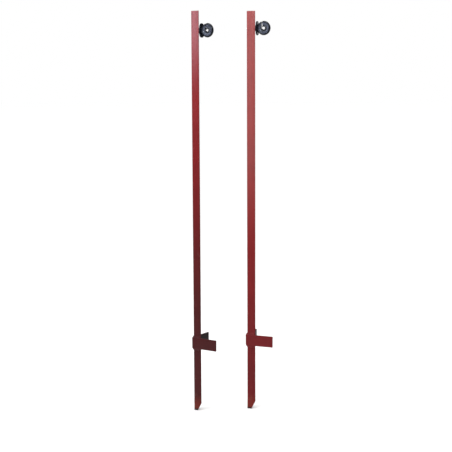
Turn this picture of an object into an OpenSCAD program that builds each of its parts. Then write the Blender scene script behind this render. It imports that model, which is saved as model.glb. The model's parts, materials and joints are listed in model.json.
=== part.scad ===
// A pair of electric fence posts in angle iron, each with a tread bracket and a turning ring insulator.
// The origin lies midway between the two heels, on the ground line that both treads come down to. +Z is up.
// Each post is drawn in its own local axes: X runs along the front flange from the heel to its toe,
// Y runs along the rear flange, and the heel stands on the Z axis.

/* [Post] */
// Length of the post from its top to its tip
post_length = 1150; // [900:10:1500]
// Length of the post below the ground line
foot_depth = 188; // [150:1:250]
// Width of each flange
flange_w = 25; // [25:1:30]
// Thickness of each flange
flange_t = 3; // [2.5:0.1:4]
// Radius of the fillet inside the angle
root_r = 3.5; // [2:0.5:3.5]
// Radius of the rounded inner edge at each toe
toe_r = 1.5; // [0.5:0.5:2]
// Radius of the heel's outer corner
heel_r = 1; // [0.5:0.5:1.5]

/* [Foot] */
// Width of each flange that is left at the tip
tip_w = 12; // [8:1:18]
// Height of the diagonal cut over the tip
tip_cut_h = 24; // [15:1:35]

/* [Tread] */
// Height of the flat bar
bar_h = 32; // [25:1:40]
// Thickness of the flat bar
bar_t = 5; // [4:0.5:6]
// Reach of each leg from the heel of the post
tread_reach = 80; // [60:1:100]
// Radius of the leg's corners
bar_corner_r = 1; // [0.5:0.5:3]

/* [Welds] */
// Width of a fillet bead on top of the bar's edge
bead_w = 4.5; // [3:0.1:5]
// Height of a fillet bead up the flange
bead_h = 7; // [4:0.5:9]

/* [Insulator] */
// Height of the insulator's axis on the left post, under the post's top
left_drop = 54.5; // [40:0.5:90]
// Height of the insulator's axis on the right post, under the post's top
right_drop = 48; // [40:0.5:90]
// Distance of the stud's axis from the front flange's outer face
stud_offset = 12.5; // [12.5:0.1:13.5]
// Diameter of the ring
ring_d = 40; // [36:1:44]
// Thickness of the ring at its rim
rim_t = 8.6; // [8:0.1:9.4]
// Thickness of the collar round the eye
collar_t = 6; // [5:0.5:6.5]
// Thickness of the ring's web at the foot of its dished face
web_t = 3.8; // [3:0.1:5]
// Diameter of the eye that carries the line
eye_d = 8; // [7:0.5:9]
// Width of the slot that lets the line in
slot_w = 2.6; // [2:0.1:3]
// Distance of the slot's middle from the middle of the eye
slot_x = 5.2; // [4:0.1:6]
// Height of the oval rain skirt
skirt_h = 40; // [36:1:44]
// Width of the oval rain skirt
skirt_w = 24; // [20:1:24]
// Radius of the skirt's upper and lower ends
skirt_end_r = 8; // [6:0.5:10]
// Thickness of the rain skirt
skirt_t = 3; // [2.5:0.1:4]
// Diameter of the neck at the ring
neck_d = 8; // [7:0.5:9]
// Diameter of the boss behind the skirt
boss_d = 16; // [14:1:17]
// Length of the boss
boss_l = 11; // [8:1:14]

/* [Stud] */
// Diameter of the stud
stud_d = 6; // [6:1:6]
// Width of a nut across its flats
nut_af = 10; // [10:0.5:10.5]
// Thickness of a nut
nut_t = 3.2; // [3:0.1:5]
// Diameter of a washer
washer_d = 12; // [11:0.5:12.5]
// Thickness of a washer
washer_t = 1.2; // [1:0.1:1.6]

/* [Pair] */
// Distance between the heels of the two posts
heel_gap = 156; // [150:1:400]
// Turn of the left post, from a front flange that is square to the view
left_turn = 33; // [15:0.5:40]
// Turn of the right post
right_turn = 22.5; // [15:0.5:40]
// Distance that the right post stands behind the left one
set_back = 12; // [0:1:40]
// Height of the left tread's underside over the ground line, as it was welded on
left_tread_rise = -3; // [-6:0.5:6]
// Height of the right tread's underside over the ground line
right_tread_rise = 2; // [-6:0.5:6]

/* [Hidden] */
$fn = 48;
eps = 0.5;
// Radial clearance of the stud in the nuts, in the washers and in the flange
nut_play = 0.05;
washer_play = 0.2;
flange_play = 0.25;
// Gap between the toe of the front flange and the skirt
toe_gap = 1;
// Radius of a nut across its corners
nut_corner_r = nut_af / 2 / cos(30);
// Stations along the stud, from the heel
skirt_x = flange_w + toe_gap;
boss_x = skirt_x - boss_l;
ring_sink = 2;
ring_x = skirt_x + skirt_t + ring_d / 2 - ring_sink;
stud_x = -washer_t - nut_t - 0.6;
stud_end = skirt_x - 2;
post_top = post_length - foot_depth;
eye_lip = 1;
collar_w = 2.2;
collar_slope = 1;
neck_l = 4;
neck_flare = 3;
// The skirt's outline is four arcs that meet without a corner: two wide ones at the sides, two small ones at the ends
end_z = skirt_h / 2 - skirt_end_r;
side_rise = skirt_w / 2 - skirt_end_r;
side_c = (end_z * end_z - side_rise * side_rise) / 2 / side_rise;
side_r = skirt_w / 2 + side_c;
join_z = end_z * side_r / (side_r - skirt_end_r);
// The heel's place, the turn, the insulator's height and the tread's level of each post
left = [[-heel_gap / 2, -set_back / 2], left_turn, post_top - left_drop, left_tread_rise];
right = [[heel_gap / 2, set_back / 2], right_turn, post_top - right_drop, right_tread_rise];

// Points of a round stretch, from one angle to another
function arc(centre, r, from, to, steps = 5) =
    [for (i = [0:steps]) centre + r * [cos(from + (to - from) * i / steps), sin(from + (to - from) * i / steps)]];

// Carries a piece from a post's own axes to its place in the pair
module on_post(side) {
    translate(side[0])
        rotate([0, 0, -side[1]])
            children();
}

// Lays a piece that is drawn along Z along the stud instead, starting at a station
module on_stud(side, station) {
    on_post(side)
        translate([station, stud_offset, side[2]])
            rotate([0, 90, 0])
                children();
}

module angle_section() {
    polygon(concat(
        arc([heel_r, heel_r], heel_r, 180, 270, 3),
        [[flange_w, 0]],
        arc([flange_w - toe_r, flange_t - toe_r], toe_r, 0, 90, 3),
        arc([flange_t + root_r, flange_t + root_r], root_r, 270, 180, 5),
        arc([flange_t - toe_r, flange_w - toe_r], toe_r, 0, 90, 3),
        [[0, flange_w]]
    ));
}

// The wedge that a saw takes off one flange at the foot
module foot_cut() {
    translate([0, flange_w, -foot_depth])
        rotate([90, 0, 0])
            linear_extrude(flange_w * 2)
                polygon([
                    [tip_w, -eps], [tip_w, 0], [flange_w, tip_cut_h],
                    [flange_w + eps, tip_cut_h], [flange_w + eps, -eps]
                ]);
}

module angle_post(side) {
    color("#8a3438")
        on_post(side)
            difference() {
                translate([0, 0, -foot_depth])
                    linear_extrude(post_length)
                        angle_section();
                foot_cut();
                mirror([1, -1, 0])
                    foot_cut();
                translate([-eps, stud_offset, side[2]])
                    rotate([0, 90, 0])
                        cylinder(h = flange_t + 2 * eps, r = stud_d / 2 + flange_play);
            }
}

module tread(side) {
    color("#7d2c30")
        on_post(side)
            translate([0, 0, side[3]])
                linear_extrude(bar_h)
                    polygon(concat(
                        arc([heel_r, heel_r], heel_r + bar_t, 180, 270, 6),
                        arc([tread_reach - bar_corner_r, bar_corner_r - bar_t], bar_corner_r, 270, 360, 2),
                        [[tread_reach, 0]],
                        arc([heel_r, heel_r], heel_r, 270, 180, 3),
                        [[0, tread_reach]],
                        arc([bar_corner_r - bar_t, tread_reach - bar_corner_r], bar_corner_r, 90, 180, 2)
                    ));
}

// A fillet bead that follows the heel on a level and rises from it, or falls where rise is -1
module weld_bead(level, rise) {
    bead = [
        [0, 0], [bead_w, 0], [bead_w * 0.78, bead_h * 0.34], [bead_w * 0.42, bead_h * 0.72], [0, bead_h]
    ];
    straight = flange_w - heel_r;
    translate([0, 0, level])
        scale([1, 1, rise]) {
            translate([heel_r, heel_r, 0])
                rotate([0, 0, 180])
                    rotate_extrude(angle = 90)
                        translate([heel_r, 0])
                            polygon(bead);
            translate([heel_r, 0, 0])
                rotate([90, 0, 90])
                    linear_extrude(straight)
                        mirror([1, 0])
                            polygon(bead);
            translate([0, heel_r + straight, 0])
                rotate([90, 0, 0])
                    linear_extrude(straight)
                        mirror([1, 0])
                            polygon(bead);
        }
}

module upper_weld(side) {
    color("#7a2a2e")
        on_post(side)
            weld_bead(side[3] + bar_h, 1);
}

module lower_weld(side) {
    color("#7a2a2e")
        on_post(side)
            weld_bead(side[3], -1);
}

module washer(side, station) {
    color("silver")
        on_stud(side, station)
            difference() {
                cylinder(h = washer_t, d = washer_d);
                translate([0, 0, -eps])
                    cylinder(h = washer_t + 2 * eps, r = stud_d / 2 + washer_play);
            }
}

module nut(side, station) {
    color("lightgray")
        on_stud(side, station)
            difference() {
                intersection() {
                    rotate([0, 0, 30])
                        cylinder(h = nut_t, r = nut_corner_r, $fn = 6);
                    rotate_extrude()
                        polygon([
                            [0, 0], [nut_corner_r - 0.6, 0], [nut_corner_r, 0.35],
                            [nut_corner_r, nut_t - 0.35], [nut_corner_r - 0.6, nut_t], [0, nut_t]
                        ]);
                }
                translate([0, 0, -eps])
                    cylinder(h = nut_t + 2 * eps, r = stud_d / 2 + nut_play);
            }
}

module inner_washer(side) {
    washer(side, flange_t);
}

module inner_nut(side) {
    nut(side, flange_t + washer_t);
}

module outer_washer(side) {
    washer(side, -washer_t);
}

module outer_nut(side) {
    nut(side, -washer_t - nut_t);
}

// Half section of the ring: the collar round the eye, the dished face, the rim, and the same in mirror
module ring_section() {
    eye_r = eye_d / 2;
    ring_r = ring_d / 2;
    rim_r = 4;
    dish_r = eye_r + collar_w + collar_slope;
    half = concat(
        [
            [eye_r, collar_t / 2 - eye_lip], [eye_r + eye_lip, collar_t / 2],
            [eye_r + collar_w, collar_t / 2], [dish_r, web_t / 2]
        ],
        [for (i = [1:4]) [
            dish_r + (ring_r - rim_r - dish_r) * i / 4,
            web_t / 2 + (rim_t - web_t) / 2 * pow(i / 4, 2)
        ]],
        arc([ring_r - rim_r, rim_t / 2 - rim_r], rim_r, 70, 0, 4)
    );
    polygon(concat(half, [for (i = [len(half) - 1:-1:0]) [half[i][0], -half[i][1]]]));
}

// The way in for the line: straight down beside the eye, then across into it
module slot() {
    translate([-slot_x - slot_w / 2, -rim_t, -slot_w / 2]) {
        cube([slot_w, 2 * rim_t, ring_d]);
        cube([slot_x + slot_w / 2, 2 * rim_t, slot_w]);
    }
}

module ring() {
    difference() {
        rotate([90, 0, 0])
            rotate_extrude($fn = 96)
                ring_section();
        slot();
    }
}

module rain_skirt() {
    rotate([0, 90, 0]) {
        intersection() {
            translate([0, -side_c, 0])
                cylinder(h = skirt_t, r = side_r);
            translate([0, side_c, 0])
                cylinder(h = skirt_t, r = side_r);
            translate([-join_z, -skirt_w, 0])
                cube([2 * join_z, 2 * skirt_w, skirt_t]);
        }
        for (end = [-1, 1])
            translate([end * end_z, 0, 0])
                cylinder(h = skirt_t, r = skirt_end_r);
    }
}

module insulator(side) {
    color("#15151b")
        on_post(side)
            translate([0, stud_offset, side[2]]) {
                difference() {
                    rotate([0, 90, 0])
                        rotate_extrude($fn = 96)
                            polygon([
                                [0, boss_x], [boss_d / 2 - 0.8, boss_x], [boss_d / 2, boss_x + 0.8],
                                [boss_d / 2, skirt_x + skirt_t], [0, skirt_x + skirt_t]
                            ]);
                    translate([boss_x - eps, 0, 0])
                        rotate([0, 90, 0])
                            cylinder(h = stud_end - boss_x + eps, d = stud_d);
                }
                translate([skirt_x, 0, 0])
                    rain_skirt();
                translate([skirt_x + skirt_t, 0, 0])
                    rotate([0, 90, 0])
                        cylinder(h = neck_l, r1 = neck_d / 2 + neck_flare, r2 = neck_d / 2);
                translate([ring_x, 0, 0])
                    ring();
            }
}

module stud(side) {
    color("gainsboro")
        on_stud(side, stud_x)
            rotate_extrude()
                polygon([
                    [0, 0], [stud_d / 2 - 0.5, 0], [stud_d / 2, 0.5],
                    [stud_d / 2, stud_end - stud_x], [0, stud_end - stud_x]
                ]);
}

angle_post(left);  // left_angle_post
tread(left);  // left_tread
upper_weld(left);  // left_upper_weld
lower_weld(left);  // left_lower_weld
inner_washer(left);  // left_inner_washer
inner_nut(left);  // left_inner_nut
outer_washer(left);  // left_outer_washer
outer_nut(left);  // left_outer_nut
insulator(left);  // left_insulator
stud(left);  // left_stud
angle_post(right);  // right_angle_post
tread(right);  // right_tread
upper_weld(right);  // right_upper_weld
lower_weld(right);  // right_lower_weld
inner_washer(right);  // right_inner_washer
inner_nut(right);  // right_inner_nut
outer_washer(right);  // right_outer_washer
outer_nut(right);  // right_outer_nut
insulator(right);  // right_insulator
stud(right);  // right_stud
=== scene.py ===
import json
import math
import random

import bmesh
import bpy
from mathutils import Euler, Matrix, Vector, noise


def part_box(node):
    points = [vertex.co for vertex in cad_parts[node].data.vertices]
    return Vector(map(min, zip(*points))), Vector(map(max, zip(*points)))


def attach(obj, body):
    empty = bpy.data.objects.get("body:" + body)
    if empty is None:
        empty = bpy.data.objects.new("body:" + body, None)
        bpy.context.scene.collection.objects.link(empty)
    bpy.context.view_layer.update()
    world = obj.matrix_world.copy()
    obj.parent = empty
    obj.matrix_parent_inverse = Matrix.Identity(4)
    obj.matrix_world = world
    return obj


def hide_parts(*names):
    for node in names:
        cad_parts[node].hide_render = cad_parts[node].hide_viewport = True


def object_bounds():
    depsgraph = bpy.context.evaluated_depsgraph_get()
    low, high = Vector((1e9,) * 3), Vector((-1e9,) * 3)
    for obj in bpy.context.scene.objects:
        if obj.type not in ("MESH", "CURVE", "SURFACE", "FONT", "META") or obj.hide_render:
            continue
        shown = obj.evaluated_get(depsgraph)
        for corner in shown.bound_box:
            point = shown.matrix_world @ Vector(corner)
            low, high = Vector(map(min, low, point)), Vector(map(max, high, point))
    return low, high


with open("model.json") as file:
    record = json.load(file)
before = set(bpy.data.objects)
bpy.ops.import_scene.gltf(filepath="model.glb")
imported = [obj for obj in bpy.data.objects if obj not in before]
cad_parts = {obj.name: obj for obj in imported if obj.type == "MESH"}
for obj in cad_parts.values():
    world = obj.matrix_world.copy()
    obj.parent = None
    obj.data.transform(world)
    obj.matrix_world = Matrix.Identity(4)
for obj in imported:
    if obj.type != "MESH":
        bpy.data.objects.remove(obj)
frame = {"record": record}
cad_low, cad_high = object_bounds()

# Sizes of one post's pieces in millimetres. Heights come from the frame.
MM = 0.001
FLANGE_W = 25.0
FLANGE_T = 3.0
ROOT_R = 3.5
HEEL_R = 1.0
TOE_INNER_R = 1.5
TOE_OUTER_R = 0.6
TIP_W = 12.0
TIP_CUT_H = 24.0
BAR_T = 5.0
BAR_REACH = 80.0
BEAD_W = 4.5
BEAD_H = 7.0
STUD_R = 3.0
STUD_OFFSET = 12.5
SKIRT_X = 26.0
RING_X = 47.0
HINGE_X = 27.0
WASHER_T = 1.2
NUT_T = 3.2
NUT_AF = 10.0


class Post:
    """One post of the pair: its own axes, and what the frame says about its heights."""

    def __init__(self, side):
        self.side = side
        joints = frame["record"]["behaviour"]["joints"]
        joint = next(j for j in joints if j["name"] == f"{side}_insulator_turn")
        along = Vector(joint["axis"])
        back = Vector((-along.y, along.x, 0))
        low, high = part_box(f"{side}_angle_post")
        bar_low, bar_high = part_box(f"{side}_tread")
        heel = Vector(joint["pos_m"]) - along * HINGE_X * MM - back * STUD_OFFSET * MM
        turn = Matrix((along, back, (0, 0, 1))).transposed().to_4x4()
        self.place = Matrix.Translation((heel.x, heel.y, 0)) @ turn
        self.foot, self.top = low.z / MM, high.z / MM
        self.bar_low, self.bar_high = bar_low.z / MM, bar_high.z / MM
        self.stud_z = joint["pos_m"][2] / MM
        self.seed = {"left": 3, "right": 11}[side]
        # painted shade: each post's red darkens from its top down to its foot where the studio light falls
        # off, the left post much more than the right; the reds at its foot and top, and the heights
        # between
        self.reds, self.fade = {
            "left": (((0.057, 0.0052, 0.0058), (0.150, 0.0028, 0.0036)), (0.0, 0.72)),
            "right": (((0.145, 0.0082, 0.0100), (0.193, 0.0095, 0.0105)), (-0.1, 0.50)),
        }[side]
        # painted sheen: a pale tint added towards the upper end where the softboxes' reflection falls, and
        # the heights where it comes in
        self.bloom, self.bloomed = {
            "left": ((0.040, 0.044, 0.050), (0.72, 0.94)),
            "right": ((0.013, 0.024, 0.021), (0.26, 0.60)),
        }[side]


# ---------------------------------------------------------------- camera and studio

def make_camera():
    image_px = 452
    focal_px = 1083.0
    place = Vector((0.0142, -3.0891, 0.7484))
    pitch, turn, roll = 7.28, 0.06, -0.247
    data = bpy.data.cameras.new("camera")
    data.sensor_width = 36.0
    data.lens = data.sensor_width * focal_px / image_px
    data.clip_end = 60
    camera = bpy.data.objects.new("camera", data)
    aim = Euler((math.radians(90 - pitch), 0, -math.radians(turn))).to_matrix().to_4x4()
    tilt = Matrix.Rotation(math.radians(roll), 4, "Z")
    camera.matrix_world = Matrix.Translation(place) @ aim @ tilt
    bpy.context.scene.collection.objects.link(camera)
    bpy.context.scene.camera = camera


def area_light(name, place, target, size, radiance, spread=180, colour=(1, 1, 1)):
    """A softbox. Radiance is its face's brightness straight on, and spread the angle it lights."""
    data = bpy.data.lights.new(name, "AREA")
    data.shape = "RECTANGLE"
    data.size, data.size_y = size
    data.spread = math.radians(spread)
    half = data.spread / 2
    focus = math.tan(half) / (math.tan(half) - half) if spread < 180 else 1
    data.energy = radiance / focus * math.pi * size[0] * size[1]
    data.color = colour
    light = bpy.data.objects.new(name, data)
    light.location = place
    light.rotation_euler = (Vector(target) - Vector(place)).to_track_quat("-Z", "Y").to_euler()
    bpy.context.scene.collection.objects.link(light)


def make_floor():
    """A wide pale floor that runs out to the horizon."""
    reach = 60.0
    bm = bmesh.new()
    corners = [(x * reach, y * reach, cad_low.z) for x, y in ((-1, -1), (1, -1), (1, 1), (-1, 1))]
    bm.faces.new([bm.verts.new(corner) for corner in corners])
    mesh = bpy.data.meshes.new("floor")
    bm.to_mesh(mesh)
    bm.free()
    mesh.materials.append(floor_paper())
    floor = bpy.data.objects.new("floor", mesh)
    bpy.context.scene.collection.objects.link(floor)


def make_studio():
    make_floor()
    area_light("key_softbox", (-0.60, -1.50, 1.40), (0.03, 0, 1.02), (0.45, 0.45), 35, 60)
    area_light(
        "left_panel", (-1.95, -0.85, 1.45), (0, 0, 1.15), (0.9, 1.2), 12.0, 100, (0.90, 0.90, 1.0),
    )
    area_light(
        "front_left_panel", (-1.30, -1.65, 1.20), (0.1, 0, 0.9), (0.6, 1.3), 6.5, 100, (0.96, 0.94, 1.0),
    )
    area_light("top_softbox", (0.05, -0.95, 2.3), (0.05, 0, 0.9), (0.8, 0.8), 5.0)
    area_light("back_panel", (1.6, 2.2, 1.6), (0, 0, 0.5), (1.4, 1.4), 1.5)
    sun = bpy.data.lights.new("overhead", "SUN")
    sun.energy = 3.45
    sun.angle = math.radians(50)
    bpy.context.scene.collection.objects.link(bpy.data.objects.new("overhead", sun))

    # the sky lights softly, and the camera sees it as white as the floor
    lighting, shown = 0.12, 1.0
    world = bpy.data.worlds.new("studio")
    world.use_nodes = True
    sky = world.node_tree
    background = sky.nodes["Background"]
    background.inputs["Color"].default_value = (1, 1, 1, 1)
    seen = sky.nodes.new("ShaderNodeLightPath")
    strength = sky.nodes.new("ShaderNodeMapRange")
    strength.inputs["To Min"].default_value = lighting
    strength.inputs["To Max"].default_value = shown
    sky.links.new(seen.outputs["Is Camera Ray"], strength.inputs["Value"])
    sky.links.new(strength.outputs["Result"], background.inputs["Strength"])
    bpy.context.scene.world = world
    bpy.context.scene.view_settings.view_transform = "Standard"


# ---------------------------------------------------------------- finishes

class Wire:
    """A shader value. Arithmetic on it adds Math nodes to its finish."""

    def __init__(self, finish, socket):
        self.finish = finish
        self.socket = socket

    def _math(self, operation, *values):
        return self.finish.node("ShaderNodeMath", {"operation": operation}, dict(enumerate(values)))

    def __add__(self, other):
        return self._math("ADD", self, other)

    def __sub__(self, other):
        return self._math("SUBTRACT", self, other)

    def __rsub__(self, other):
        return self._math("SUBTRACT", other, self)

    def __mul__(self, other):
        return self._math("MULTIPLY", self, other)

    __radd__ = __add__
    __rmul__ = __mul__

    def least(self, other):
        return self._math("MINIMUM", self, other)

    def most(self, other):
        return self._math("MAXIMUM", self, other)

    def step(self, low, high):
        """0 under low, 1 over high, and smooth between them."""
        return self.finish.node(
            "ShaderNodeMapRange", {"interpolation_type": "SMOOTHSTEP"},
            {"Value": self, "From Min": low, "From Max": high},
        )


class Finish:
    """A material of the object, wired node by node."""

    def __init__(self, name):
        self.material = bpy.data.materials.new(name)
        self.material.use_nodes = True
        self.tree = self.material.node_tree
        self.shader = self.tree.nodes["Principled BSDF"]

    def node(self, kind, settings=None, inputs=None, output=0):
        made = self.tree.nodes.new(kind)
        for key, value in (settings or {}).items():
            setattr(made, key, value)
        for key, value in (inputs or {}).items():
            self.feed(made.inputs[key], value)
        return Wire(self, made.outputs[output])

    def feed(self, socket, value):
        if isinstance(value, Wire):
            self.tree.links.new(value.socket, socket)
        elif socket.type == "RGBA":
            socket.default_value = (*value, 1)
        else:
            socket.default_value = value

    def set(self, **inputs):
        for name, value in inputs.items():
            self.feed(self.shader.inputs[name.replace("_", " ")], value)

    def own_place(self, scale=(1, 1, 1), shift=(0, 0, 0)):
        """Place on the piece in its post's own axes, in metres, then scaled and shifted."""
        place = self.node("ShaderNodeAttribute", {"attribute_name": "bench"}, None, "Vector")
        inputs = {"Vector": place, "Scale": scale, "Location": shift}
        return self.node("ShaderNodeMapping", None, inputs)

    def noise(self, vector, size, detail=3.0, roughness=0.55):
        """Noise from 0 to 1 whose blots are about size metres across."""
        inputs = {"Vector": vector, "Scale": 1 / size, "Detail": detail, "Roughness": roughness}
        return self.node("ShaderNodeTexNoise", None, inputs, "Fac")

    def blend(self, amount, first, second, how="MIX"):
        """Colour mix. Sockets 6 and 7 are a Mix node's colours, and output 2 is its colour."""
        settings = {"data_type": "RGBA", "blend_type": how}
        return self.node("ShaderNodeMix", settings, {0: amount, 6: first, 7: second}, 2)

    def split(self, vector):
        parts = self.tree.nodes.new("ShaderNodeSeparateXYZ")
        self.feed(parts.inputs[0], vector)
        return [Wire(self, output) for output in parts.outputs]

    def relief(self, height, strength, distance):
        inputs = {"Height": height, "Strength": strength, "Distance": distance}
        return self.node("ShaderNodeBump", None, inputs)


def floor_paper():
    paper = Finish("floor_paper")
    grain = paper.noise(paper.own_place(), 0.4)
    white = paper.blend(grain, (0.86, 0.86, 0.855), (0.88, 0.88, 0.875))
    paper.set(Base_Color=white, Roughness=0.9)
    return paper.material


def red_oxide_paint(post):
    """Brushed red oxide primer on black steel: streaks, thin edges, chips and a rubbed foot, with painted
    shade darker towards the foot and a painted sheen towards the top.
    """
    paint = Finish(f"{post.side}_red_oxide_paint")
    shift = (post.seed * 0.37, post.seed * 0.21, post.seed * 0.13)
    place = paint.own_place(shift=shift)
    x, y, z = paint.split(paint.own_place())

    streaks = paint.noise(paint.own_place((1, 1, 0.06), shift), 0.004, 4)
    clouds = paint.noise(place, 0.055, 3)
    blots = paint.noise(place, 0.012, 4)
    speck = paint.noise(place, 0.0022, 2)

    # painted shade: the red darkens from the top down to the foot, much more on the left post
    red = paint.blend(z.step(*post.fade), *post.reds)
    red = paint.blend(clouds.step(0.3, 0.7) * 0.5, red, (0.80, 0.78, 0.78), "MULTIPLY")
    red = paint.blend(streaks.step(0.35, 0.75) * 0.5, red, (0.72, 0.66, 0.68), "MULTIPLY")
    red = paint.blend(blots.step(0.55, 0.8) * 0.2, red, (0.190, 0.0220, 0.0240))
    # painted sheen: a pale streaked tint added over the upper part of the post
    red = paint.blend(z.step(*post.bloomed) * (0.7 + streaks * 0.6), red, post.bloom, "ADD")

    # paint draws thin on the heel's arris and the toes, and chips there first
    heel = 1 - (x + y).step(-0.0002, 0.0016)
    toes = x.most(y).step(0.0236, 0.0249)
    tops = z.step(post.top * MM - 0.0012, post.top * MM)
    foot = 1 - z.step(-0.180, -0.135)
    arris = heel.most(toes * 0.7).most(tops)
    chips = (speck * 0.5 + blots * 0.5 + arris * 0.10 + foot * 0.045).step(0.665, 0.69)
    rust = paint.blend(speck.step(0.35, 0.65), (0.085, 0.026, 0.012), (0.19, 0.062, 0.022))
    steel = paint.blend(blots.step(0.45, 0.55), rust, (0.05, 0.045, 0.043))

    # the foot is rubbed brighter, with a stain of dry soil and bare dark steel along the sawn tip
    rubbed = foot * (0.32 + clouds * 0.42)
    red = paint.blend(rubbed, red, (0.200, 0.024, 0.013))
    soil = (1 - z.step(-0.19, -0.1)) * blots.step(0.5, 0.72) * 0.28
    red = paint.blend(soil, red, (0.16, 0.10, 0.066))
    colour = paint.blend(chips, red, steel)
    bare = 1 - (z + blots * 0.003).step(post.foot * MM + 0.0050, post.foot * MM + 0.0075)
    colour = paint.blend(bare * 0.85, colour, (0.032, 0.025, 0.020))

    gloss = 0.28 + streaks * 0.10 + soil * 0.5 + chips * 0.25
    level = (1 - chips) * 0.55 + streaks * 0.35 + speck * 0.12
    paint.set(
        Base_Color=colour,
        Roughness=gloss,
        Normal=paint.relief(level, 0.35, 0.00025),
        Specular_IOR_Level=0.14,
    )
    return paint.material


def tread_paint(post):
    """The same primer on the flat bar. Boots rub its upper edge and ends, and its inner faces are painted
    near black as shade.
    """
    paint = Finish(f"{post.side}_tread_paint")
    shift = (post.seed * 0.29, post.seed * 0.17, post.seed * 0.41)
    place = paint.own_place(shift=shift)
    x, y, z = paint.split(paint.own_place())
    streaks = paint.noise(paint.own_place((0.12, 0.12, 1), shift), 0.003, 4)
    clouds = paint.noise(place, 0.03, 3)
    blots = paint.noise(place, 0.009, 4)
    speck = paint.noise(place, 0.0018, 2)
    # painted shade: the bar takes its post's foot red, which is darkened as shade
    red = paint.blend(clouds.step(0.3, 0.7) * 0.5, post.reds[0], (0.78, 0.76, 0.76), "MULTIPLY")
    red = paint.blend(streaks.step(0.35, 0.75) * 0.5, red, (0.72, 0.66, 0.68), "MULTIPLY")
    red = paint.blend(1.0, red, (0.003, 0.006, 0.006), "ADD")
    bar_foot, bar_top = post.bar_low * MM, post.bar_high * MM
    on_bar = z.step(bar_foot - 0.0005, bar_foot) * (1 - z.step(bar_top, bar_top + 0.0005))
    # painted shade: the legs' inner faces, where shade falls, are painted near black
    inner_shade = x.least(y).step(-0.0009, -0.0003) * (0.55 + streaks * 0.8).least(1.0)
    red = paint.blend(inner_shade * on_bar, red, (0.0060, 0.0028, 0.0040))
    edge = z.step(bar_top - 0.0015, bar_top) * on_bar
    ends = x.most(y).step(0.077, 0.0798)
    scuffs = (speck * 0.45 + blots * 0.5 + edge * 0.085 + ends * 0.05).step(0.655, 0.685)
    rust = paint.blend(speck.step(0.4, 0.6), (0.075, 0.024, 0.012), (0.17, 0.055, 0.02))
    steel = paint.blend(blots.step(0.5, 0.6), rust, (0.10, 0.092, 0.088))
    colour = paint.blend(scuffs, red, steel)
    gloss = 0.32 + streaks * 0.10 + scuffs * 0.15
    level = (1 - scuffs) * 0.55 + streaks * 0.3 + blots * 0.25
    paint.set(
        Base_Color=colour,
        Roughness=gloss,
        Normal=paint.relief(level, 0.35, 0.00025),
        Specular_IOR_Level=0.08,
    )
    return paint.material


def black_moulding(post):
    """Black insulator plastic with a faint flow texture, fine scuffs and a painted sheen in its dish."""
    moulding = Finish(f"{post.side}_black_moulding")
    shift = (post.seed * 0.11, post.seed * 0.23, post.seed * 0.05)
    place = moulding.own_place(shift=shift)
    flow = moulding.noise(place, 0.006, 3)
    grain = moulding.noise(place, 0.0009, 2)
    scuffs = moulding.noise(moulding.own_place((1, 1, 6), shift), 0.003, 5, 0.7).step(0.60, 0.72)
    black = moulding.blend(flow.step(0.3, 0.7), (0.0028, 0.0032, 0.0056), (0.0042, 0.0048, 0.0080))
    black = moulding.blend(scuffs * 0.2, black, (0.030, 0.033, 0.042))

    # painted sheen: a pale bluish grey painted in the dish, between the collar and the rim, in place of
    # the dish's highlights
    x, _, z = moulding.split(moulding.own_place())
    across, up = x - RING_X * MM, z - post.stud_z * MM
    from_eye = across * across + up * up
    dish = from_eye.step(0.0088 ** 2, 0.0112 ** 2) * (1 - from_eye.step(0.0140 ** 2, 0.0160 ** 2))
    dish_sheen = dish * (0.24 + flow.step(0.40, 0.60) * 0.36)
    black = moulding.blend(dish_sheen, black, (0.095, 0.108, 0.150))
    moulding.set(
        Base_Color=black,
        Roughness=0.15 + flow * 0.06 + scuffs * 0.2,
        Normal=moulding.relief(flow * 0.7 + grain * 0.15, 0.12, 0.0004),
        Specular_IOR_Level=0.17,
        Specular_Tint=(0.80, 0.90, 1.0),
    )
    return moulding.material


def zinc_plate(post):
    """Bright zinc on the stud, nuts and washers, dulled in patches and rusting in small spots."""
    zinc = Finish(f"{post.side}_zinc_plate")
    shift = (post.seed * 0.07, post.seed * 0.19, post.seed * 0.31)
    place = zinc.own_place(shift=shift)
    patches = zinc.noise(place, 0.004, 4)
    speck = zinc.noise(place, 0.0009, 3)
    grey = zinc.blend(patches.step(0.35, 0.65), (0.30, 0.31, 0.32), (0.44, 0.45, 0.44))
    rust = (speck * 0.6 + patches * 0.4).step(0.62, 0.70)
    colour = zinc.blend(rust * 0.8, grey, (0.24, 0.10, 0.04))
    zinc.set(
        Base_Color=colour,
        Metallic=1 - rust * 0.8,
        Roughness=0.34 + patches * 0.18 + rust * 0.3,
        Normal=zinc.relief(speck, 0.2, 0.0002),
    )
    return zinc.material


# ---------------------------------------------------------------- mesh tools

def ring_of(bm, points):
    return [bm.verts.new(p) for p in points]


def skin(bm, rings):
    """Faces between rings that follow each other. Each ring joins its last point to its first."""
    for first, second in zip(rings, rings[1:]):
        count = len(first)
        for i in range(count):
            j = (i + 1) % count
            bm.faces.new((first[i], first[j], second[j], second[i]))


def cap(bm, ring, flip=False):
    bm.faces.new(list(reversed(ring)) if flip else ring)


def arc(centre, r, start, end, steps):
    angles = [math.radians(start + (end - start) * i / steps) for i in range(steps + 1)]
    return [(centre[0] + r * math.cos(a), centre[1] + r * math.sin(a)) for a in angles]


def bevel_sharp(bm, width, angle):
    """Softens the edges where two faces meet at more than an angle."""
    bm.normal_update()
    sharp = [e for e in bm.edges if e.is_manifold and e.calc_face_angle(0) > math.radians(angle)]
    bmesh.ops.bevel(
        bm, geom=sharp, offset=width, segments=2, profile=0.6, affect="EDGES", clamp_overlap=True,
    )


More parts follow.
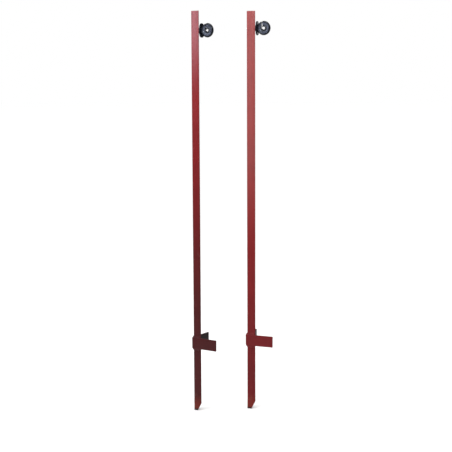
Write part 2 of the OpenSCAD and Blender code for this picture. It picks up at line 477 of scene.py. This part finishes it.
def cut_off(bm, place, normal):
    """Cuts away what lies beyond a plane and closes the cut."""
    geom = bm.verts[:] + bm.edges[:] + bm.faces[:]
    cut = bmesh.ops.bisect_plane(
        bm, geom=geom, plane_co=place, plane_no=normal, clear_outer=True, dist=1e-5,
    )
    edges = [e for e in cut["geom_cut"] if isinstance(e, bmesh.types.BMEdge)]
    bmesh.ops.holes_fill(bm, edges=edges)


def build(bm, name, post, body, finish, node, sharp_angle=32):
    """Turns a mesh drawn in a post's own millimetres into a piece that stands for a CAD node.

    The points keep their place in the post's own axes as the attribute "bench", for the finishes.
    """
    bench = bm.verts.layers.float_vector.new("bench")
    for vert in bm.verts:
        vert[bench] = vert.co * MM
        vert.co = post.place @ (vert.co * MM)
    bmesh.ops.recalc_face_normals(bm, faces=bm.faces[:])
    for face in bm.faces:
        face.smooth = True
    for edge in bm.edges:
        edge.smooth = not edge.is_manifold or edge.calc_face_angle(0) < math.radians(sharp_angle)
    mesh = bpy.data.meshes.new(name)
    bm.to_mesh(mesh)
    bm.free()
    mesh.materials.append(finish)
    piece = bpy.data.objects.new(name, mesh)
    bpy.context.scene.collection.objects.link(piece)
    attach(piece, f"{post.side}_{body}")
    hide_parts(f"{post.side}_{node}")


def applied(bm, modifiers):
    """The mesh after a few modifiers, each a type with its settings."""
    mesh = bpy.data.meshes.new("blank")
    bm.to_mesh(mesh)
    bm.free()
    blank = bpy.data.objects.new("blank", mesh)
    bpy.context.scene.collection.objects.link(blank)
    for kind, settings in modifiers:
        modifier = blank.modifiers.new(kind, kind)
        for key, value in settings.items():
            setattr(modifier, key, value)
    bpy.context.view_layer.update()
    shaped = bmesh.new()
    shaped.from_object(blank, bpy.context.evaluated_depsgraph_get())
    bpy.data.objects.remove(blank)
    bpy.data.meshes.remove(mesh)
    return shaped


def cutter(bm):
    """A solid for a boolean, which its user removes."""
    mesh = bpy.data.meshes.new("cutter")
    bmesh.ops.recalc_face_normals(bm, faces=bm.faces[:])
    bm.to_mesh(mesh)
    bm.free()
    tool = bpy.data.objects.new("cutter", mesh)
    bpy.context.scene.collection.objects.link(tool)
    return tool


# ---------------------------------------------------------------- steel pieces

def angle_outline():
    """Section of the angle, from the heel round both toes and the root."""
    toe_x = FLANGE_W - TOE_OUTER_R
    return (
        arc((HEEL_R, HEEL_R), HEEL_R, 180, 270, 4)
        + arc((toe_x, TOE_OUTER_R), TOE_OUTER_R, 270, 360, 2)
        + arc((FLANGE_W - TOE_INNER_R, FLANGE_T - TOE_INNER_R), TOE_INNER_R, 0, 90, 4)
        + arc((FLANGE_T + ROOT_R, FLANGE_T + ROOT_R), ROOT_R, 270, 180, 6)
        + arc((FLANGE_T - TOE_INNER_R, FLANGE_W - TOE_INNER_R), TOE_INNER_R, 0, 90, 4)
        + arc((TOE_OUTER_R, toe_x), TOE_OUTER_R, 90, 180, 2)
    )


def make_angle_post(post, paint):
    """Rolled angle with the roll's slight waves, sawn off at the top and to a point at the foot."""
    bm = bmesh.new()
    outline = angle_outline()
    margin, spacing, wave = 4.0, 7.5, 0.10
    across_grain, along_grain, next_bar = 0.05, 0.018, 9.0
    count = round((post.top - post.foot + 2 * margin) / spacing)
    rings = []
    for i in range(count + 1):
        z = post.foot - margin + (post.top - post.foot + 2 * margin) * i / count
        points = []
        for x, y in outline:
            spot = (x * across_grain, y * across_grain, z * along_grain + post.seed * next_bar)
            sway = noise.noise(Vector(spot)) * wave
            points.append((x - abs(sway) * (x > FLANGE_T), y - abs(sway) * (y > FLANGE_T), z))
        rings.append(ring_of(bm, points))
    skin(bm, rings)
    cut_off(bm, (0, 0, post.top), (0, 0, 1))
    cut_off(bm, (0, 0, post.foot), (0, 0, -1))
    rise = FLANGE_W - TIP_W
    cut_off(bm, (TIP_W, 0, post.foot), (TIP_CUT_H, 0, -rise))
    cut_off(bm, (0, TIP_W, post.foot), (0, TIP_CUT_H, -rise))
    burr, touching = 0.35, 0.02
    bevel_sharp(bm, burr, 50)
    # where two cuts meet, the softened edges leave points on top of each other
    bmesh.ops.remove_doubles(bm, verts=bm.verts[:], dist=touching)

    hole = bmesh.new()
    clearance, past = 0.25, 2
    circle = arc((STUD_OFFSET, post.stud_z), STUD_R + clearance, 0, 350, 35)
    ends = [ring_of(hole, [(x, y, z) for y, z in circle]) for x in (-past, FLANGE_T + past)]
    skin(hole, ends)
    cap(hole, ends[0])
    cap(hole, ends[1], True)
    drill = cutter(hole)
    bm = applied(bm, [("BOOLEAN", {"object": drill, "operation": "DIFFERENCE", "solver": "EXACT"})])
    bpy.data.objects.remove(drill)
    build(bm, f"{post.side}_post_steel", post, "post", paint, "angle_post")


def bar_section(half_h, half_t, corner):
    """Flat bar's section: offset across the bar and height, starting on the outside."""
    h, t = half_h - corner, half_t - corner
    return (
        arc((-t, -h), corner, 180, 270, 3) + arc((t, -h), corner, 270, 360, 3)
        + arc((t, h), corner, 0, 90, 3) + arc((-t, h), corner, 90, 180, 3)
    )


def make_tread(post, paint):
    """Flat bar bent hot round the heel, drawn in outside the bend and sheared at both ends."""
    bm = bmesh.new()
    shear_loss, corner_r, shrink, dent_depth = 0.5, 0.8, 0.03, 0.12
    reach = BAR_REACH - shear_loss
    half_t = BAR_T / 2
    half_h = (post.bar_high - post.bar_low) / 2
    middle = (post.bar_high + post.bar_low) / 2
    stations = []
    leg_steps = 26
    for i in range(leg_steps):
        stations.append(((reach - (reach - HEEL_R) * i / leg_steps, -half_t), (0, -1), 0.0))
    bend_steps = 12
    for i in range(bend_steps + 1):
        a = math.radians(270 - 90 * i / bend_steps)
        out = (math.cos(a), math.sin(a))
        r = HEEL_R + half_t
        place = (HEEL_R + r * out[0], HEEL_R + r * out[1])
        stations.append((place, out, math.sin(math.pi * i / bend_steps)))
    for i in range(1, leg_steps + 1):
        stations.append(((-half_t, HEEL_R + (reach - HEEL_R) * i / leg_steps), (-1, 0), 0.0))
    rings = []
    for n, ((x, y), out, bend) in enumerate(stations):
        points = []
        for across, up in bar_section(half_h, half_t, corner_r):
            drawn = 1 - shrink * bend * (across < 0)
            spot = (n * 0.35, up * 0.12, post.seed + (across < 0))
            dent = dent_depth * abs(noise.noise(Vector(spot)))
            depth = across - math.copysign(dent, across) * (abs(across) > half_t - 0.01)
            points.append((x - out[0] * depth, y - out[1] * depth, middle + up * drawn))
        rings.append(ring_of(bm, points))
    skin(bm, rings)
    cap(bm, rings[0], True)
    cap(bm, rings[-1])
    bevel_sharp(bm, 0.5, 60)
    build(bm, f"{post.side}_tread_bar", post, "post", paint, "tread")


def weld_path(s, half_length):
    """Point on the angle's outside and the way out, at distance s along a bead from toe to toe."""
    bend_r = HEEL_R + BEAD_W / 2
    half_bend = bend_r * math.pi / 4
    if s < half_length - half_bend:
        return (FLANGE_W - s * (FLANGE_W - HEEL_R) / (half_length - half_bend), 0.0), (0.0, -1.0)
    if s > half_length + half_bend:
        t = (s - half_length - half_bend) / (half_length - half_bend)
        return (0.0, HEEL_R + t * (FLANGE_W - HEEL_R)), (-1.0, 0.0)
    a = math.radians(270) - (s - half_length + half_bend) / bend_r
    out = (math.cos(a), math.sin(a))
    return (HEEL_R + HEEL_R * out[0], HEEL_R + HEEL_R * out[1]), out


def make_weld(post, paint, node, level, rise):
    """Hand-laid fillet: overlapping crescents from toe to toe, with drops of spatter beside it."""
    rng = random.Random(f"{post.side}{node}")
    bm = bmesh.new()
    half_length = (FLANGE_W - HEEL_R) + (HEEL_R + BEAD_W / 2) * math.pi / 4
    length = 2 * half_length
    pitch, step, across_steps = 1.6, 0.25, 10
    wobble = [rng.uniform(0.86, 1.0) for _ in range(int(length / pitch) + 4)]
    sunk, leg, belly_mm, scallop_mm, lag_mm = 0.4, 0.86, 0.75, 0.19, 1.5
    start_size, run_in = 0.35, 3.0
    drops = 14
    rings = []
    count = int(length / step)
    for i in range(count + 1):
        s = length * i / count
        from_end = max(0.0, min(s, length - s))
        taper = min(1.0, start_size + (1 - start_size) * math.sqrt(min(1.0, from_end / run_in)))
        points = []
        for j in range(across_steps + 1):
            t = j / across_steps
            lag = lag_mm * (1 - (2 * t - 1) ** 2)
            phase = (s + lag) / pitch
            k = int(phase)
            size = wobble[k] + (wobble[k + 1] - wobble[k]) * (phase - k)
            crest = math.sqrt(max(0.0, math.sin(math.pi * (phase - k))))
            scallop = scallop_mm * crest * math.sin(math.pi * t)
            belly = belly_mm * math.sin(math.pi * t) * size
            out_mm = BEAD_W * leg * size * taper * (1 - t) + (belly + scallop) * 0.55 * taper
            up_mm = BEAD_H * leg * size * taper * t + (belly + scallop) * 0.45 * taper
            (x, y), out = weld_path(s, half_length)
            points.append((x + out[0] * out_mm, y + out[1] * out_mm, level + rise * up_mm))
        (x, y), out = weld_path(s, half_length)
        inner_x, inner_y = x - out[0] * sunk, y - out[1] * sunk
        points.append((inner_x, inner_y, points[-1][2]))
        points.append((inner_x, inner_y, level - rise * sunk))
        points.append((points[0][0], points[0][1], level - rise * sunk))
        rings.append(ring_of(bm, points))
    skin(bm, rings)
    cap(bm, rings[0], True)
    cap(bm, rings[-1])
    for _ in range(drops):
        drop_of_spatter(bm, rng, level, rise)
    build(bm, f"{post.side}_{node}_bead", post, "post", paint, node, 60)


def drop_of_spatter(bm, rng, level, rise):
    """A small round drop stuck to a flange beyond the bead."""
    r = rng.uniform(0.25, 0.6)
    along = rng.uniform(2.5, FLANGE_W - 2)
    up = level + rise * (BEAD_H + rng.uniform(0.8, 11.0))
    on_front = rng.random() < 0.5
    rings = []
    for tilt in (0, 30, 60):
        a = math.radians(tilt)
        circle = arc((along, up), r * math.cos(a), 0, 315, 7)
        stand = 0.02 - r * 0.6 * math.sin(a)
        drop = [(u, stand, z) if on_front else (stand, u, z) for u, z in circle]
        rings.append(ring_of(bm, drop))
    skin(bm, rings)
    cap(bm, rings[0], True)
    cap(bm, rings[-1])


# ---------------------------------------------------------------- fasteners

def turned(bm, profile, post, steps=72):
    """Rings round the stud's axis. Each entry gives the station and the radius, by angle."""
    rings = []
    for station_at, radius_at in profile:
        points = []
        for i in range(steps):
            a = 2 * math.pi * i / steps
            r = radius_at(a)
            points.append((station_at(a, r), STUD_OFFSET + r * math.cos(a), post.stud_z + r * math.sin(a)))
        rings.append(ring_of(bm, points))
    skin(bm, rings)
    return rings


def always(value):
    return lambda *_: value


def make_washer(post, zinc, node, station):
    """Flat washer with a rounded outer edge and a chamfered hole."""
    bm = bmesh.new()
    inner, outer, edge = STUD_R + 0.2, 6.0, 0.22
    a, b = station, station + WASHER_T
    profile = [
        (a + edge, inner), (a, inner + edge), (a, outer - edge), (a + edge * 0.4, outer - edge * 0.3),
        (a + edge, outer), (b - edge * 1.4, outer), (b - edge * 0.5, outer - edge * 0.4),
        (b, outer - edge * 1.4), (b, inner + edge), (b - edge, inner),
    ]
    rings = turned(bm, [(always(place), always(r)) for place, r in profile], post)
    skin(bm, [rings[-1], rings[0]])
    build(bm, f"{post.side}_{node}_ring", post, "post", zinc, node)


def make_nut(post, zinc, node, station):
    """Hexagon nut with both faces turned to a chamfer and a countersunk bore."""
    bm = bmesh.new()
    bore, bevel_r, sink = STUD_R + 0.05, 4.65, 0.4
    slope = math.tan(math.radians(26))
    low, high = station, station + NUT_T

    def hexagon(a):
        turn = (a + math.pi / 6) % (math.pi / 3) - math.pi / 6
        return NUT_AF / 2 / math.cos(turn)

    rings = turned(bm, [
        (always(low + sink), always(bore)),
        (always(low), always(bore + sink)),
        (always(low), always(bevel_r)),
        (lambda a, r: low + (r - bevel_r) * slope, hexagon),
        (lambda a, r: high - (r - bevel_r) * slope, hexagon),
        (always(high), always(bevel_r)),
        (always(high), always(bore + sink)),
        (always(high - sink), always(bore)),
    ], post)
    skin(bm, [rings[-1], rings[0]])
    build(bm, f"{post.side}_{node}_hexagon", post, "post", zinc, node, 22)


def make_stud(post, zinc):
    """M6 rod with a real thread, one millimetre a turn, cut off with a small chamfer."""
    bm = bmesh.new()
    low, high = -5.0, SKIRT_X - 8
    pitch, depth, steps, per_turn = 1.0, 0.46, 40, 10
    flank, chamfer, chamfer_slope = 1.35, 0.55, 0.9
    count = int((high - low) * per_turn / pitch)

    def thread(station):
        def radius(a):
            phase = (station / pitch - a / (2 * math.pi)) % 1.0
            groove = min(1.0, abs(2 * phase - 1) * flank)
            return min(STUD_R - depth * groove, STUD_R - chamfer + (station - low) * chamfer_slope)
        return radius

    stations = [low + (high - low) * i / count for i in range(count + 1)]
    rings = turned(bm, [(always(station), thread(station)) for station in stations], post, steps)
    cap(bm, rings[0], True)
    cap(bm, rings[-1])
    build(bm, f"{post.side}_stud_thread", post, "ring", zinc, "stud", 50)


# ---------------------------------------------------------------- insulator

def around(bm, profile, axis, centre):
    """Rings round an axis. Each entry gives the station and the half sizes across and up.

    A ring with equal sizes is round, and a longer one is an oval with blunter ends than an ellipse.
    """
    steps, bluntness = 96, 0.9
    rings = []
    for station, across, up in profile:
        power = 2 / (2 + bluntness * (up / across - 1))
        points = []
        for i in range(steps):
            a = 2 * math.pi * i / steps
            c = across * math.copysign(abs(math.cos(a)) ** power, math.cos(a))
            s = up * math.copysign(abs(math.sin(a)) ** power, math.sin(a))
            away = (station, c, s) if axis == "X" else (c, station, s)
            points.append(Vector(centre) + Vector(away))
        rings.append(ring_of(bm, points))
    skin(bm, rings)
    return rings


def insulator_body(post):
    """Boss, hollow-backed oval rain skirt with a drip edge, and the neck into the ring."""
    bm = bmesh.new()
    rings = around(bm, [
        (15.0, 0.01, 0.01), (15.0, 7.2, 7.2), (15.8, 8.0, 8.0), (24.0, 8.0, 8.0),
        (26.2, 8.3, 8.3), (26.8, 8.9, 9.2), (26.9, 10.2, 17.8), (26.3, 10.7, 18.6),
        (26.0, 11.2, 19.2), (26.2, 11.7, 19.7), (26.8, 12.0, 20.0), (27.9, 12.0, 20.0),
        (28.6, 11.5, 19.5), (28.9, 10.2, 18.0), (29.0, 8.6, 12.0), (29.4, 7.0, 8.0),
        (30.3, 6.0, 6.3), (31.8, 4.6, 4.9), (33.2, 3.2, 3.5), (34.0, 1.5, 1.8), (34.1, 0.01, 0.01),
    ], "X", (0, STUD_OFFSET, post.stud_z))
    cap(bm, rings[0])
    cap(bm, rings[-1], True)
    bmesh.ops.recalc_face_normals(bm, faces=bm.faces[:])
    return bm


def ring_profile():
    """Half thickness and radius over the ring: collar at the eye, dish, round rim, parting line."""
    floor, crest, dish_start, crest_r, tube = 1.9, 4.3, 8.6, 15.8, 4.0
    dish_steps, hollowness = 12, 2.2
    half = [
        (2.0, 4.0), (2.5, 4.15), (2.85, 4.5), (3.0, 5.0), (3.0, 5.7), (2.8, 6.2), (2.3, 6.7), (1.95, 7.4),
    ]
    for i in range(dish_steps):
        t = i / dish_steps
        half.append((floor + (crest - floor) * t ** hollowness, dish_start + (crest_r - dish_start) * t))
    for degrees in range(90, 0, -9):
        a = math.radians(degrees)
        half.append((crest - tube + tube * math.sin(a), crest_r + tube * math.cos(a)))
    half += [(0.35, crest_r + tube), (0.15, 20.0)]
    return [(y, r, r) for y, r in half] + [(-y, r, r) for y, r in reversed(half)]


def slot_blade(post):
    """The line's way in: a flared mouth, straight down beside the eye, then across into it."""
    bm = bmesh.new()
    outline = [
        (-6.0, -1.3), (0, -1.3), (0, 1.3), (-3.3, 1.3), (-3.9, 1.9), (-3.9, 16.8),
        (-3.3, 18.4), (-2.0, 20.8), (-8.6, 20.8), (-7.1, 18.2), (-6.5, 16.6), (-6.5, -0.8),
    ]
    half_depth = 9
    ends = []
    for y in (STUD_OFFSET - half_depth, STUD_OFFSET + half_depth):
        ends.append(ring_of(bm, [(RING_X + x, y, post.stud_z + z) for x, z in outline]))
    skin(bm, ends)
    cap(bm, ends[0])
    cap(bm, ends[1], True)
    return cutter(bm)


def make_insulator(post, moulding):
    """One moulding: the skirted body and the dished ring, with the line's slot in from the rim."""
    ring = bmesh.new()
    rings = around(ring, ring_profile(), "Y", (RING_X, STUD_OFFSET, post.stud_z))
    skin(ring, [rings[-1], rings[0]])
    bmesh.ops.recalc_face_normals(ring, faces=ring.faces[:])
    blade = slot_blade(post)
    body = cutter(insulator_body(post))
    bm = applied(ring, [
        ("BOOLEAN", {"object": blade, "operation": "DIFFERENCE", "solver": "EXACT"}),
        ("BOOLEAN", {"object": body, "operation": "UNION", "solver": "EXACT"}),
        ("REMESH", {"mode": "VOXEL", "voxel_size": 0.35}),
        ("SMOOTH", {"factor": 0.5, "iterations": 3}),
    ])
    bpy.data.objects.remove(blade)
    bpy.data.objects.remove(body)
    name = f"{post.side}_insulator_moulding"
    build(bm, name, post, "ring", moulding, "insulator", 80)


make_camera()
make_studio()
for post in (Post("left"), Post("right")):
    paint = red_oxide_paint(post)
    tread_finish = tread_paint(post)
    zinc = zinc_plate(post)
    make_angle_post(post, paint)
    make_tread(post, tread_finish)
    make_weld(post, tread_finish, "upper_weld", post.bar_high, 1)
    make_weld(post, tread_finish, "lower_weld", post.bar_low, -1)
    make_washer(post, zinc, "inner_washer", FLANGE_T)
    make_nut(post, zinc, "inner_nut", FLANGE_T + WASHER_T)
    make_washer(post, zinc, "outer_washer", -WASHER_T)
    make_nut(post, zinc, "outer_nut", -WASHER_T - NUT_T)
    make_stud(post, zinc)
    make_insulator(post, black_moulding(post))
